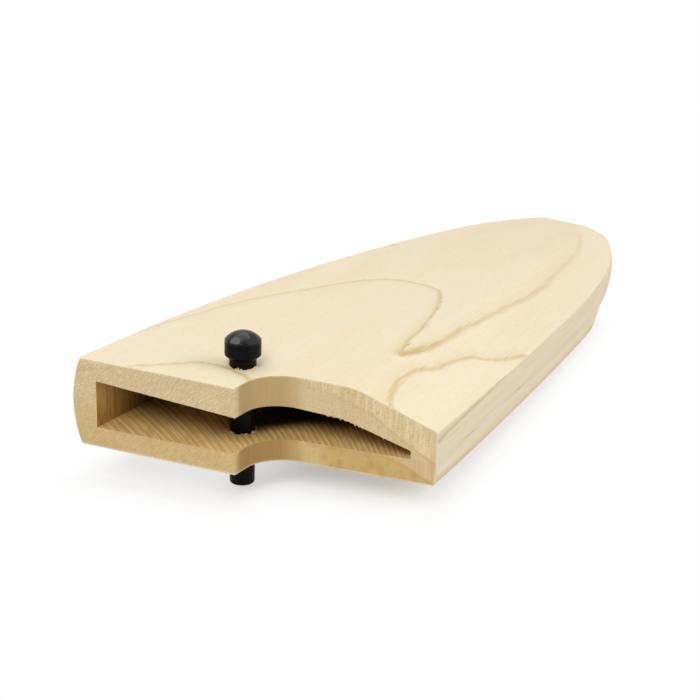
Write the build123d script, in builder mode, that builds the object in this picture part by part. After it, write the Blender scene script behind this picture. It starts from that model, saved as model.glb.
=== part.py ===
"""A wooden knife sheath: two boards glued face to face, and the pin that keeps the knife in.

X runs from the mouth to the tip, Y towards the knife's spine and Z up, out through the pin's head.
The origin lies under the middle of the sheath, level with the end of the pin's tail. A reach is
counted from the mouth, an inset from the spine side, and a rise from the boards' glue line.
"""

from build123d import *

import os
from math import atan, degrees, radians, sin, sqrt, tan

# Outline from above, in gentle arcs that tighten towards the blunt tip
case_length = 182.0
case_width = 70.5
spine_bend = 16.4             # degrees that the spine side turns before it tightens
nose_radius = 101.0
nose_bend = 20.6
spine_corner_radius = 4.0     # the tip's corner on the spine side
tip_width = 19.0              # the flat end of the tip, up to where it would meet the edge side
tip_rake = 12.3               # degrees that the flat end leans back
edge_corner_radius = 4.0      # the tip's corner on the edge side
belly_reach = 62.0            # where the edge side stands out the most
belly_radius = 2380.0
belly_bend = 1.2
flank_radius = 455.0
flank_bend = 5.2

# Mouth, straight on the spine side, with a scoop in front of the blade's heel
mouth_width = 35.3
scoop_depth = 11.4
scoop_lean = 0.5              # how far the scoop's throat drifts towards the edge side
scoop_radius = 7.7
edge_setback = 13.2           # how far behind the mouth the edge side starts
mouth_round = 0.2

# Section across the boards
spine_rise = 13.65            # top of the upper board at the spine side
bevel_width = 16.6            # from the ridge to the edge side
ridge_rise = 12.1
crown = 0.25                  # swell of the top between the spine side and the ridge
ridge_radius = 14.0
edge_rise = 5.8               # top of the edge side, where the bevel ends
lower_wall = 3.95             # the lower board at the spine side
underside_angle = 0.45        # the lower board thickens towards the edge side
side_radius = 22.0            # swell of the side, seen in section
side_crest = 4.8              # height at which the side stands out the most
fade_radius = 250.0           # the swell runs out along the edge side on this curve
fade_bend = 8.5
top_round = 0.5
underside_round = 0.8

# Blade slot, cut in the upper board only
spine_wall = 5.4
edge_wall = 5.0
tip_wall = 10.5
slot_rise = 9.75              # ceiling over the spine side, before it slopes
slot_slope = 4.45
slot_bevel_width = 13.9       # where the ceiling follows the blade's bevel
slot_edge_rise = 1.45         # height of the slot where the blade's edge lies
slot_corner_radius = 6.0

# Retaining pin, turned in one piece, with a slow taper from its neck to its tail
pin_reach = 11.9
pin_margin = 4.7              # from the scoop's throat to the pin's axis
neck_radius = 2.62            # at the top of the upper board
tail_radius = 2.43
tail_drop = 6.5               # from the lower board to the end of the tail
tail_round = 0.5
neck_stand = 1.6              # neck that shows between the board and the head
head_step = 0.12              # shoulder between the neck and the cone under the head
head_cone = 0.7
head_radius = 3.52
head_wall = 3.0
head_dome = 1.75
head_round = 0.25
bore_clearance = 0.05

overrun = 1.0                 # how far cuts run past what they trim

half_length = case_length / 2
half_width = case_width / 2
pin_inset = mouth_width - pin_margin
lead = tip_wall + edge_wall + overrun
full_bend = spine_bend + nose_bend
nose_run = nose_radius * (sin(radians(full_bend)) - sin(radians(spine_bend)))
corner_run = spine_corner_radius * (1 - sin(radians(full_bend)))
spine_radius = (case_length - nose_run - corner_run) / sin(radians(spine_bend))
glue_z = tail_drop + lower_wall + pin_inset * tan(radians(underside_angle))
lowest_rise = -lower_wall - case_width * tan(radians(underside_angle))
ridge_inset = case_width - bevel_width
bevel_slope = (ridge_rise - edge_rise) / bevel_width
under_slope = tan(radians(underside_angle))
slot_edge_inset = case_width - edge_wall
slot_ridge_inset = slot_edge_inset - slot_bevel_width
slot_ridge_rise = slot_rise - slot_ridge_inset * tan(radians(slot_slope))
slot_bevel_slope = (slot_ridge_rise - slot_edge_rise) / slot_bevel_width
pin_share = pin_inset / ridge_inset
crown_slope = (spine_rise - ridge_rise - 4 * crown) / ridge_inset
pin_rise = spine_rise - (spine_rise - ridge_rise) * pin_share + 4 * crown * pin_share * (1 - pin_share)


def plan(reach, inset):
    """A point seen from above, from its distances to the mouth and to the spine side."""
    return (reach - half_length, half_width - inset)


def section(inset, rise):
    """A point of the cross-section, from its distances to the spine side and to the glue line."""
    return (half_width - inset, glue_z + rise)


def side_inset(rise):
    """How far the swelling side has drawn in at a height above the glue line."""
    return side_radius - sqrt(side_radius**2 - (rise - side_crest) ** 2)


# The spine side and the tip, whose sides swell, as one line from before the mouth
with BuildLine() as rim:
    entry = Line(plan(-lead, 0), plan(0, 0))
    spine_arc = JernArc(entry @ 1, entry % 1, spine_radius, -spine_bend)
    nose_arc = JernArc(spine_arc @ 1, spine_arc % 1, nose_radius, -nose_bend)
    spine_corner = JernArc(nose_arc @ 1, nose_arc % 1, spine_corner_radius, full_bend - 90 - tip_rake)
    tip_line = PolarLine(spine_corner @ 1, tip_width, direction=spine_corner % 1)
    belly = JernArc(plan(belly_reach, case_width), (1, 0), belly_radius, belly_bend, mode=Mode.PRIVATE)
    flank = JernArc(belly @ 1, belly % 1, flank_radius, flank_bend, mode=Mode.PRIVATE)
    TangentArc(flank @ 1, tip_line @ 1, tangent=flank % 1)
    fillet(rim.vertices().sort_by_distance(tip_line @ 1)[0], edge_corner_radius)

# The straight-sided stretch along the blade's edge
with BuildLine() as edge_side:
    heel_bend = degrees(atan((belly_reach + lead) / belly_radius))
    add(flank)
    add(belly)
    heel = JernArc(belly @ 0, (-1, 0), belly_radius, -heel_bend)

with BuildLine() as fade:
    JernArc(flank @ 1, -(flank % 1), fade_radius, fade_bend)

with BuildSketch() as outline:
    with BuildLine():
        add(rim.line)
        add(edge_side.line)
        Line(heel @ 1, entry @ 0)
    make_face()

# Both boards as one, before the slot is cut. The blank stands proud of the rim, which is then turned in
with BuildPart() as case:
    with BuildSketch(Plane.XY.offset(glue_z + lowest_rise)):
        add(outline.sketch)
        trace(rim.line, line_width=2 * overrun)
    extrude(amount=spine_rise - lowest_rise)
    with BuildSketch(Plane.YZ.offset(-half_length - lead - overrun)) as profile:
        with BuildLine():
            shoulder = section(-overrun, spine_rise + overrun * crown_slope)
            ridge = section(ridge_inset, ridge_rise)
            crown_middle = section(ridge_inset / 2, (spine_rise + ridge_rise) / 2 + crown)
            ThreePointArc(shoulder, crown_middle, ridge)
            far_bevel = section(case_width + overrun, edge_rise - overrun * bevel_slope)
            far_below = section(case_width + overrun, lowest_rise - overrun * under_slope)
            near_below = section(-overrun, -lower_wall + overrun * under_slope)
            Polyline(ridge, far_bevel, far_below, near_below, shoulder)
        make_face()
        fillet(profile.vertices().sort_by_distance(ridge)[0], ridge_radius)
    extrude(amount=case_length + 2 * lead, mode=Mode.INTERSECT)
    with BuildSketch(Plane.YZ.offset(-half_length - lead)):
        with BuildLine():
            high = spine_rise + overrun
            low = lowest_rise - overrun
            top_end = section(side_inset(high), high)
            bottom_end = section(side_inset(low), low)
            ThreePointArc(top_end, section(0, side_crest), bottom_end)
            Polyline(bottom_end, section(-2 * overrun, low), section(-2 * overrun, high), top_end)
        make_face()
    sweep(path=Wire([*rim.edges(), *fade.edges()]), mode=Mode.SUBTRACT)
    top_edges = case.faces().sort_by(Axis.Z)[-3:].edges().filter_by(Axis.X, reverse=True)
    fillet(top_edges - top_edges.group_by(Axis.X)[0], top_round)
    low_edges = case.faces().sort_by(Axis.Z)[0].edges()
    fillet(low_edges - low_edges.group_by(Axis.X)[0], underside_round)
    with BuildSketch(Plane.XY.offset(glue_z + lowest_rise - overrun)):
        with BuildLine():
            throat = plan(0, mouth_width)
            scoop_corner = plan(scoop_depth, mouth_width + scoop_lean)
            scoop_slope = (edge_setback - scoop_depth) / (case_width - mouth_width - scoop_lean)
            scoop_end = plan(edge_setback + overrun * scoop_slope, case_width + overrun)
            FilletPolyline(throat, scoop_corner, scoop_end, radius=scoop_radius)
            behind = -lead - overrun
            far_corner = plan(behind, case_width + overrun)
            Polyline(scoop_end, far_corner, plan(behind, -overrun), plan(0, -overrun), throat)
        make_face()
    extrude(amount=spine_rise - lowest_rise + 2 * overrun, mode=Mode.SUBTRACT)
    mouth_end = case.faces().filter_by(Plane.YZ).sort_by(Axis.X)[0]
    chamfer(mouth_end.edges().sort_by(Axis.Y)[-1], mouth_round)

# The hollow for the blade: the outline drawn in, thicker at the tip, under a ceiling like the blade's
with BuildPart() as slot:
    with BuildSketch(Plane.XY.offset(glue_z)) as slot_plan:
        add(outline.sketch)
        offset(amount=-edge_wall, mode=Mode.REPLACE)
        with Locations((edge_wall - tip_wall, edge_wall - spine_wall)):
            add(slot_plan.sketch, mode=Mode.INTERSECT)
        fillet(slot_plan.vertices().sort_by(Axis.X)[-2:], slot_corner_radius)
    extrude(amount=slot_rise)
    with BuildSketch(Plane.YZ.offset(-half_length - lead)):
        with BuildLine():
            ceiling = section(0, slot_rise)
            slot_ridge = section(slot_ridge_inset, slot_ridge_rise)
            far_edge = slot_edge_inset + overrun
            slot_edge = section(far_edge, slot_edge_rise - overrun * slot_bevel_slope)
            Polyline(ceiling, slot_ridge, slot_edge, section(far_edge, 0), section(0, 0), ceiling)
        make_face()
    extrude(amount=case_length + lead, mode=Mode.INTERSECT)


pin_x, pin_y = plan(pin_reach, pin_inset)
pin_plane = Plane.XZ.offset(-pin_y)
pin_axis = Axis((pin_x, pin_y, 0), (0, 0, 1))
neck_z = glue_z + pin_rise
head_z = neck_z + neck_stand
rim_z = head_z + head_cone
dome_z = rim_z + head_wall
crown_z = dome_z + head_dome
dome_radius = (head_radius**2 + head_dome**2) / (2 * head_dome)

with BuildPart() as retaining_pin:
    with BuildSketch(pin_plane) as pin_profile:
        with BuildLine():
            shank = Polyline((pin_x, 0), (pin_x + tail_radius, 0), (pin_x + neck_radius, neck_z))
            neck_top = (pin_x + neck_radius, head_z)
            cone_foot = (pin_x + neck_radius + head_step, head_z)
            head_rim = (pin_x + head_radius, rim_z)
            head = Polyline(shank @ 1, neck_top, cone_foot, head_rim, (pin_x + head_radius, dome_z))
            dome = RadiusArc(head @ 1, (pin_x, crown_z), -dome_radius)
            Line(dome @ 1, shank @ 0)
        make_face()
        fillet(pin_profile.vertices().sort_by_distance((pin_x + tail_radius, 0))[0], tail_round)
        fillet(pin_profile.vertices().sort_by_distance(head_rim)[0], head_round)
        fillet(pin_profile.vertices().sort_by_distance(head @ 1)[0], head_round)
    revolve(axis=pin_axis)

# The tapered hole that the pin seats in, through both boards
with BuildPart() as bore:
    with BuildSketch(pin_plane):
        with BuildLine():
            bore_tail = (pin_x + tail_radius + bore_clearance, 0)
            bore_neck = (pin_x + neck_radius + bore_clearance, neck_z)
            bore_top = (pin_x + neck_radius + bore_clearance, head_z)
            Polyline((pin_x, 0), bore_tail, bore_neck, bore_top, (pin_x, head_z), (pin_x, 0))
        make_face()
    revolve(axis=pin_axis)

with BuildPart() as upper_half:
    add(case.part)
    add(slot.part, mode=Mode.SUBTRACT)
    add(bore.part, mode=Mode.SUBTRACT)
    split(bisect_by=Plane.XY.offset(glue_z), keep=Keep.TOP)

with BuildPart() as lower_half:
    add(case.part)
    add(bore.part, mode=Mode.SUBTRACT)
    split(bisect_by=Plane.XY.offset(glue_z), keep=Keep.BOTTOM)

os.makedirs("parts", exist_ok=True)
upper_half.part.label = "upper_half"
export_step(upper_half.part, "parts/upper_half.step")
lower_half.part.label = "lower_half"
export_step(lower_half.part, "parts/lower_half.step")
retaining_pin.part.label = "retaining_pin"
export_step(retaining_pin.part, "parts/retaining_pin.step")
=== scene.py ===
"""The look of a wooden knife sheath: its boards, the torn fibres of its cuts and its black pin.

Places on the boards are given as on a bench: a reach from the mouth, an inset from the spine side
and a rise from the boards' glue line, in millimetres.
"""

import logging
import math
from dataclasses import dataclass, field
from enum import Enum
from typing import Any, Callable, Iterable, Sequence

import bmesh
import bpy
import numpy as np
from mathutils import Matrix, Vector
from mathutils.bvhtree import BVHTree
from mathutils.kdtree import KDTree


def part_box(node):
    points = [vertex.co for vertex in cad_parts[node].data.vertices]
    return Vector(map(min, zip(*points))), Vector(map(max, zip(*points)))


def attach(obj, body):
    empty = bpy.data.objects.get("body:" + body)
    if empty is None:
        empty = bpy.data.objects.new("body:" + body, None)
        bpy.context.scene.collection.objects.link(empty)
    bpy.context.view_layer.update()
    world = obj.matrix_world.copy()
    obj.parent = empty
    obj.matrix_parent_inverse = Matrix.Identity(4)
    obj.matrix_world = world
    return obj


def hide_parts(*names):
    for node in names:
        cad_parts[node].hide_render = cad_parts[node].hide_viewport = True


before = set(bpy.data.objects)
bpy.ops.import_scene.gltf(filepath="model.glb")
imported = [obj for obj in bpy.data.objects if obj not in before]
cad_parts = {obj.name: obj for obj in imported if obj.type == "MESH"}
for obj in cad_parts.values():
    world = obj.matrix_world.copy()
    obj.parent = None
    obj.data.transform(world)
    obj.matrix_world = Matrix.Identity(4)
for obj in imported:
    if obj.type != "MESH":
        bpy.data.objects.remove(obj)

log = logging.getLogger("sheath")

MM = 0.001
LEANING, STEEP, FLAT = 0.3, 0.5, 0.9   # shares of a normal on an axis that a face looks along
SAME_PLACE = 7   # decimals of a metre to which two points are one
Pair = tuple[float, float]
Triple = tuple[float, float, float]
Colour = Triple
UP = Vector((0, 0, 1))
WHITE: Colour = (1.0, 1.0, 1.0)


def linear(red: int, green: int, blue: int) -> Colour:
    """Turn a screen colour into the linear colour that a shader takes.

    Args:
        red: Red on the screen, 0 to 255.
        green: Green on the screen, 0 to 255.
        blue: Blue on the screen, 0 to 255.

    Returns:
        The linear colour.
    """
    def channel(value: int) -> float:
        """Undo the screen's curve for one channel."""
        share = value / 255
        return share / 12.92 if share <= 0.04045 else ((share + 0.055) / 1.055) ** 2.4

    return channel(red), channel(green), channel(blue)


def solid_tree(node: str) -> BVHTree:
    """Make a tree that casts rays at a CAD node.

    Args:
        node: The node's name.

    Returns:
        The tree.
    """
    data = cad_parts[node].data
    corners = [vert.co.copy() for vert in data.vertices]
    return BVHTree.FromPolygons(corners, [tuple(face.vertices) for face in data.polygons])


def point_tree(points: Sequence[Vector]) -> KDTree:
    """Make a tree that finds the nearest of some points.

    Args:
        points: The points.

    Returns:
        The tree.
    """
    tree = KDTree(len(points))
    for index, point in enumerate(points):
        tree.insert(point, index)
    tree.balance()
    return tree


def along(start: Vector, end: Vector, step: float) -> list[Vector]:
    """Give points along an edge.

    Args:
        start: One end.
        end: The other end.
        step: How far apart they may lie.

    Returns:
        The points, both ends with them.
    """
    count = 1 + int((end - start).length / step)
    return [start.lerp(end, index / count) for index in range(count + 1)]


def pin_axis() -> tuple[Vector, float, float]:
    """Read the pin's place from its solid.

    Returns:
        The axis at height 0, and the heights of the tail's end and of the head's top.
    """
    low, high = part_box("retaining_pin")
    return Vector(((low.x + high.x) / 2, (low.y + high.y) / 2, 0)), low.z, high.z


class Body(Enum):
    """The moving bodies that pieces ride on."""

    SHEATH = "sheath"
    PIN = "pin"


class Slot(Enum):
    """The record's material slots."""

    WOOD = "wood"
    BLACK = "black_pin"


class Side(Enum):
    """What a face of a board is, as the number that is kept on it."""

    PLANED = 0
    CUT = 1
    FLANK = 2
    HOLLOW = 3
    BORE = 4


class Shade:
    """A socket that can be used in arithmetic, each step of which adds a Math node."""

    def __init__(self, tree: "Tree", socket: bpy.types.NodeSocket) -> None:
        """Wrap a socket of a tree."""
        self.tree = tree
        self.socket = socket

    def _math(self, operation: str, *values: Any) -> "Shade":
        """Add a Math node.

        Args:
            operation: The node's operation.
            values: Sockets or numbers, in the node's order.

        Returns:
            The node's output.
        """
        return self.tree.node("ShaderNodeMath", {"operation": operation}, list(values))

    def __add__(self, other: Any) -> "Shade":
        """Add."""
        return self._math("ADD", self, other)

    __radd__ = __add__

    def __sub__(self, other: Any) -> "Shade":
        """Subtract."""
        return self._math("SUBTRACT", self, other)

    def __rsub__(self, other: Any) -> "Shade":
        """Subtract this from a number."""
        return self._math("SUBTRACT", other, self)

    def __mul__(self, other: Any) -> "Shade":
        """Multiply."""
        return self._math("MULTIPLY", self, other)

    __rmul__ = __mul__

    def __truediv__(self, other: Any) -> "Shade":
        """Divide."""
        return self._math("DIVIDE", self, other)

    def __pow__(self, other: Any) -> "Shade":
        """Raise to a power."""
        return self._math("POWER", self, other)

    def __abs__(self) -> "Shade":
        """Drop the sign."""
        return self._math("ABSOLUTE", self)

    def sine(self) -> "Shade":
        """Take the sine."""
        return self._math("SINE", self)

    def above(self, other: Any) -> "Shade":
        """Give the larger of two values."""
        return self._math("MAXIMUM", self, other)

    def below(self, other: Any) -> "Shade":
        """Give the smaller of two values."""
        return self._math("MINIMUM", self, other)

    def fade(self, start: float, end: float) -> "Shade":
        """Rise smoothly from 0 to 1 between two values.

        Args:
            start: The value that gives 0.
            end: The value that gives 1. It may be the smaller one.

        Returns:
            The smooth step.
        """
        if start < end:
            settings = {"interpolation_type": "SMOOTHSTEP"}
            return self.tree.node("ShaderNodeMapRange", settings, [self, start, end, 0.0, 1.0])
        return 1.0 - self.fade(end, start)


class Tree:
    """A node tree that is filled by one call a node."""

    def __init__(self, tree: bpy.types.NodeTree) -> None:
        """Take a tree to fill."""
        self.nodes = tree.nodes
        self.links = tree.links

    def node(self, kind: str, settings: dict[str, Any], values: Any, output: Any = 0) -> Shade:
        """Add a node.

        Args:
            kind: The node's type.
            settings: Its own settings, made before its sockets are filled.
            values: Values or links of its sockets, in order, or by name or place. None leaves one
                alone.
            output: The output to give back, by place or name.

        Returns:
            The chosen output.
        """
        made = self.nodes.new(kind)
        for name, value in settings.items():
            setattr(made, name, value)
        pairs = values.items() if isinstance(values, dict) else enumerate(values)
        for key, value in pairs:
            if value is not None:
                self.fill(made.inputs[key], value)
        return Shade(self, made.outputs[output])

    def fill(self, socket: bpy.types.NodeSocket, value: Any) -> None:
        """Link a socket, or set it where the value is plain.

        Args:
            socket: The input to fill.
            value: A wrapped socket, a number, or a colour.
        """
        if isinstance(value, Shade):
            self.links.new(value.socket, socket)
        elif socket.type == "RGBA":
            socket.default_value = (*value, 1.0)
        else:
            socket.default_value = value

    def vector(self, operation: str, *values: Any) -> Shade:
        """Add a Vector Math node.

        Args:
            operation: The node's operation.
            values: Vectors, in the node's order.

        Returns:
            The resulting vector.
        """
        return self.node("ShaderNodeVectorMath", {"operation": operation}, list(values))

    def joined(self, x: Any, y: Any, z: Any) -> Shade:
        """Join three numbers to a vector."""
        return self.node("ShaderNodeCombineXYZ", {}, [x, y, z])

    def ray(self, kind: str) -> Shade:
        """Say whether the ray is of a kind, Camera or Glossy."""
        return self.node("ShaderNodeLightPath", {}, [], f"Is {kind} Ray")


class Shader(Tree):
    """A material's node tree, with the few calls that fill it."""

    def __init__(self, name: str) -> None:
        """Start a material with a Principled shader.

        Args:
            name: The material's name.
        """
        self.material = bpy.data.materials.new(name)
        self.material.use_nodes = True
        super().__init__(self.material.node_tree)
        self.shader = self.nodes["Principled BSDF"]
        self.output = self.nodes["Material Output"]
        self.place = self.node("ShaderNodeTexCoord", {}, [], "Object")

    def mix(self, share: Any, first: Any, second: Any) -> Shade:
        """Mix two colours.

        Args:
            share: How much of the second, as a number or link.
            first: The colour at 0.
            second: The colour at 1.

        Returns:
            The mixed colour.
        """
        settings = {"data_type": "RGBA", "clamp_factor": True}
        return self.node("ShaderNodeMix", settings, {0: share, 6: first, 7: second}, 2)

    def blend(self, share: Any, first: Any, second: Any) -> Shade:
        """Mix two numbers.

        Args:
            share: How much of the second, as a number or link.
            first: The number at 0.
            second: The number at 1.

        Returns:
            The mixed number.
        """
        return self.node("ShaderNodeMix", {"data_type": "FLOAT"}, {0: share, 2: first, 3: second})

    def noise(self, scale: float, detail: float = 2.0, rough: float = 0.5, at: Any = None) -> Shade:
        """Add soft noise about 0.5.

        Args:
            scale: Waves to a metre, or to a unit of the place that is given.
            detail: Octaves.
            rough: How strong the fine octaves are.
            at: The place to read it at, by default the object's own.

        Returns:
            The noise's value.
        """
        values = {"Vector": at or self.place, "Scale": scale, "Detail": detail, "Roughness": rough}
        return self.node("ShaderNodeTexNoise", {}, values, "Fac")

    def stretched(self, factors: Triple) -> Shade:
        """Stretch the object's place, so that a texture runs along an axis.

        Args:
            factors: Scale along X, Y and Z.

        Returns:
            The stretched place.
        """
        return self.vector("MULTIPLY", self.place, factors)

    def axis(self, name: str, of: Any = None) -> Shade:
        """Give one coordinate of a place or a direction.

        Args:
            name: X, Y or Z.
            of: The vector, by default the object's own place.

        Returns:
            The coordinate.
        """
        return self.node("ShaderNodeSeparateXYZ", {}, [of or self.place], name)

    def facing(self) -> Shade:
        """Give the surface's direction in the object's own axes."""
        return self.node("ShaderNodeTexCoord", {}, [], "Normal")

    def attribute(self, name: str) -> Shade:
        """Read a number kept on the mesh.

        Args:
            name: The attribute's name.

        Returns:
            Its value.
        """
        return self.node("ShaderNodeAttribute", {"attribute_name": name}, [], "Fac")

    def bump(self, height: Any, depth: float) -> None:
        """Roughen the surface.

        Args:
            height: Height from 0 to 1.
            depth: What a height of 1 is, in metres.
        """
        values = {"Height": height, "Distance": depth}
        self.fill(self.shader.inputs["Normal"], self.node("ShaderNodeBump", {}, values, "Normal"))

    def surface(self, **sockets: Any) -> None:
        """Fill the Principled shader's sockets.

        Args:
            sockets: Values or links, by the socket's name with _ for a space.
        """
        for name, value in sockets.items():
            self.fill(self.shader.inputs[name.replace("_", " ")], value)


class Grower(Tree):
    """A Geometry Nodes tree with named inputs, which ends in plain geometry with one finish."""

    def __init__(self, name: str, sizes: Sequence[str]) -> None:
        """Start a tree that takes lines.

        Args:
            name: The tree's name.
            sizes: The names of its sizes.
        """
        self.group = bpy.data.node_groups.new(name, "GeometryNodeTree")
        sockets = [("Lines", "Geometry"), *((size, "Float") for size in sizes),
                   ("Seed", "Int"), ("Finish", "Material")]
        for label, kind in sockets:
            self.group.interface.new_socket(label, in_out="INPUT", socket_type=f"NodeSocket{kind}")
        self.group.interface.new_socket("Grown", in_out="OUTPUT", socket_type="NodeSocketGeometry")
        super().__init__(self.group)
        self.entry = self.nodes.new("NodeGroupInput")
        self.exit = self.nodes.new("NodeGroupOutput")

    def given(self, name: str) -> Shade:
        """Give one of the tree's named inputs."""
        return Shade(self, self.entry.outputs[name])

    def random(self, low: float, high: float, turn: int) -> Shade:
        """Draw a number for each point.

        Args:
            low: The least value.
            high: The greatest value.
            turn: What sets this draw apart from the tree's others.

        Returns:
            The drawn number.
        """
        values = {2: low, 3: high, "Seed": self.given("Seed") + float(turn)}
        return self.node("FunctionNodeRandomValue", {"data_type": "FLOAT"}, values, 1)

    def finish(self, grown: Shade) -> None:
        """End the tree.

        Args:
            grown: What has grown on the lines.
        """
        real = self.node("GeometryNodeRealizeInstances", {}, [grown])
        dressed = self.node("GeometryNodeSetMaterial", {},
                            {"Geometry": real, "Material": self.given("Finish")})
        self.fill(self.exit.inputs["Grown"], dressed)

    def grow(self, name: str, lines: bpy.types.Mesh, inputs: dict[str, Any]) -> bpy.types.Object:
        """Grow the tree on lines and keep the result as a plain mesh.

        Args:
            name: The piece's name.
            lines: A mesh of edges, in place.
            inputs: The values of the tree's named inputs.

        Returns:
            The piece, without a modifier.
        """
        host = bpy.data.objects.new(name, lines)
        bpy.context.scene.collection.objects.link(host)
        modifier = host.modifiers.new("grow", "NODES")
        modifier.node_group = self.group
        for item in self.group.interface.items_tree:
            if item.in_out == "INPUT" and item.name in inputs:
                modifier[item.identifier] = inputs[item.name]
        depsgraph = bpy.context.evaluated_depsgraph_get()
        mesh = bpy.data.meshes.new_from_object(host.evaluated_get(depsgraph), depsgraph=depsgraph)
        host.modifiers.remove(modifier)
        host.data = mesh
        mesh.name = name
        log.info("%s: %d faces", name, len(mesh.polygons))
        return host


@dataclass(frozen=True)
class Ring:
    """A growth ring's dark line, drawn through a few places on one side of a board.

    A place is its reach and inset on a planed top, its inset and rise on a cut, and its reach and
    rise on the flank. The strength runs evenly from the line's start to its end.
    """

    side: Side
    route: tuple[Pair, ...]
    strength: Pair = (1.0, 1.0)
    width: float = 0.5
    glow: float = 3.0

    def trail(self, step: int = 10, beyond: float = 1.0) -> tuple[np.ndarray, np.ndarray]:
        """Draw the line smoothly, and on past its ends with no strength.

        Args:
            step: Points to a stretch between two places.
            beyond: How soon the line fades out past its ends.

        Returns:
            Points along the line, one a row, and the strength at each.
        """
        places = [np.array(place) for place in self.route]
        ends = [2 * places[0] - places[1], *places, 2 * places[-1] - places[-2]]
        share = np.linspace(0, 1, step, endpoint=False)[:, None]
        first = (places[1] - places[0]) / math.dist(places[0], places[1])
        last = (places[-1] - places[-2]) / math.dist(places[-1], places[-2])
        runs = [(places[0] - beyond * first)[None]]
        for before, start, end, after in zip(ends, ends[1:], ends[2:], ends[3:]):
            runs.append(0.5 * (2 * start + (end - before) * share
                               + (2 * before - 5 * start + 4 * end - after) * share**2
                               + (3 * start - before - 3 * end + after) * share**3))
        runs.extend([places[-1][None], (places[-1] + beyond * last)[None]])
        line = np.vstack(runs)
        ink = np.linspace(*self.strength, len(line))
        ink[[0, -1]] = 0
        return line, ink

    def measure(self, places: np.ndarray, most: int = 20000) -> tuple[np.ndarray, np.ndarray]:
        """Measure how far places lie from the line.

        Args:
            places: Places, one a row.
            most: How many are worked out at a time.

        Returns:
            The signed distance of each, and the line's strength beside it.
        """
        line, ink = self.trail()
        headings = np.gradient(line, axis=0)
        headings /= np.linalg.norm(headings, axis=1)[:, None]
        gap = np.empty(len(places))
        strength = np.empty(len(places))
        for start in range(0, len(places), most):
            part = slice(start, start + most)
            offsets = places[part][:, None, :] - line[None]
            nearest = (offsets**2).sum(2).argmin(1)
            offset = offsets[np.arange(len(nearest)), nearest]
            heading = headings[nearest]
            gap[part] = heading[:, 0] * offset[:, 1] - heading[:, 1] * offset[:, 0]
            strength[part] = ink[nearest]
        return gap, strength


# The upper board's figure. On the top: the long arch, the long ring beside the edge side, the
# smudge where these two meet, the wavy ring next to it and the arc at the mouth. On the cuts: a
# line over the mouth's spine corner and one down the scoop. Last, the line along the flank.
UPPER_FIGURE = (
    Ring(Side.PLANED, ((20.0, 2.0), (35.0, 5.4), (53.4, 10.2), (68.5, 17.0), (78.8, 21.9),
                       (87.1, 28.1), (88.5, 35.4), (86.7, 41.3), (82.0, 44.5), (69.7, 48.1),
                       (57.4, 50.2), (45.4, 51.4), (37.5, 52.9)),
         strength=(0.3, 1.0), width=0.5, glow=3.6),
    Ring(Side.PLANED, ((35.5, 53.3), (41.8, 55.3), (50.4, 56.3), (62.9, 56.9), (70.7, 57.7),
                       (88.6, 59.0), (108.0, 60.5), (132.1, 59.4), (153.9, 58.1), (167.7, 54.8)),
         strength=(1.0, 0.25), width=0.72, glow=-4.5),
    Ring(Side.PLANED, ((36.2, 53.4), (39.7, 54.2), (44.6, 55.3), (50.2, 56.3)),
         strength=(0.95, 0.3), width=1.1, glow=-2.6),
    Ring(Side.PLANED, ((11.8, 62.6), (13.4, 60.4), (18.0, 58.9), (24.7, 57.7), (32.4, 58.2),
                       (39.3, 60.5), (45.5, 61.4), (52.1, 63.3), (55.7, 66.3), (63.1, 69.0),
                       (66.7, 70.1)),
         strength=(0.8, 0.7), width=0.6, glow=-4.5),
    Ring(Side.PLANED, ((0.3, 12.9), (6.0, 19.0), (9.3, 22.9), (9.5, 27.0), (8.9, 29.7), (6.8, 33.7),
                       (4.5, 37.3)),
         strength=(0.6, 1.0), width=0.6, glow=2.6),
    Ring(Side.CUT, ((0.6, 10.8), (4.2, 11.6), (9.0, 12.5)),
         strength=(0.5, 0.3), width=0.3, glow=1.0),
    Ring(Side.CUT, ((38.0, 11.9), (42.0, 11.6), (48.8, 10.3), (53.8, 8.7), (57.0, 7.6), (60.0, 5.6),
                    (62.8, 3.7), (66.3, 1.6), (70.2, -0.5)),
         strength=(0.2, 0.75), width=0.26, glow=-2.6),
    Ring(Side.FLANK, ((12.0, 4.0), (18.0, 4.4), (24.0, 4.7), (36.0, 5.2), (52.0, 5.8)),
         strength=(1.0, 0.6), width=0.3, glow=1.4),
)

# The lower board's figure, both lines down the scoop's cut
LOWER_FIGURE = (
    Ring(Side.CUT, ((59.0, -0.2), (61.5, -0.8), (64.0, -1.6), (66.4, -2.9), (69.8, -4.5)),
         strength=(0.7, 0.9), width=0.3, glow=1.6),
    Ring(Side.CUT, ((50.0, -0.6), (54.0, -1.4), (56.3, -2.1), (58.3, -3.0), (60.6, -4.3)),
         strength=(0.3, 0.7), width=0.5, glow=-2.0),
)


@dataclass(frozen=True)
class SawArcs:
    """The arcs that the cutter left across the slot's floor, each the one before moved along."""

    radius: float = 200.0
    centre: float = -112.8
    middle: float = 30.0
    pitch: float = 1.9

    def lead(self, inset: Any, root: Callable[[Any], Any]) -> Any:
        """Say how far an arc runs ahead of its middle.

        Args:
            inset: The inset, as a number, an array or a shade, in millimetres.
            root: What takes the square root of such a value.

        Returns:
            The reach, from the arc's middle, in millimetres.
        """
        rest = math.sqrt(self.radius**2 - (self.middle - self.centre) ** 2)
        away = inset - self.centre
        return root(self.radius**2 - away * away) - rest


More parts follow.
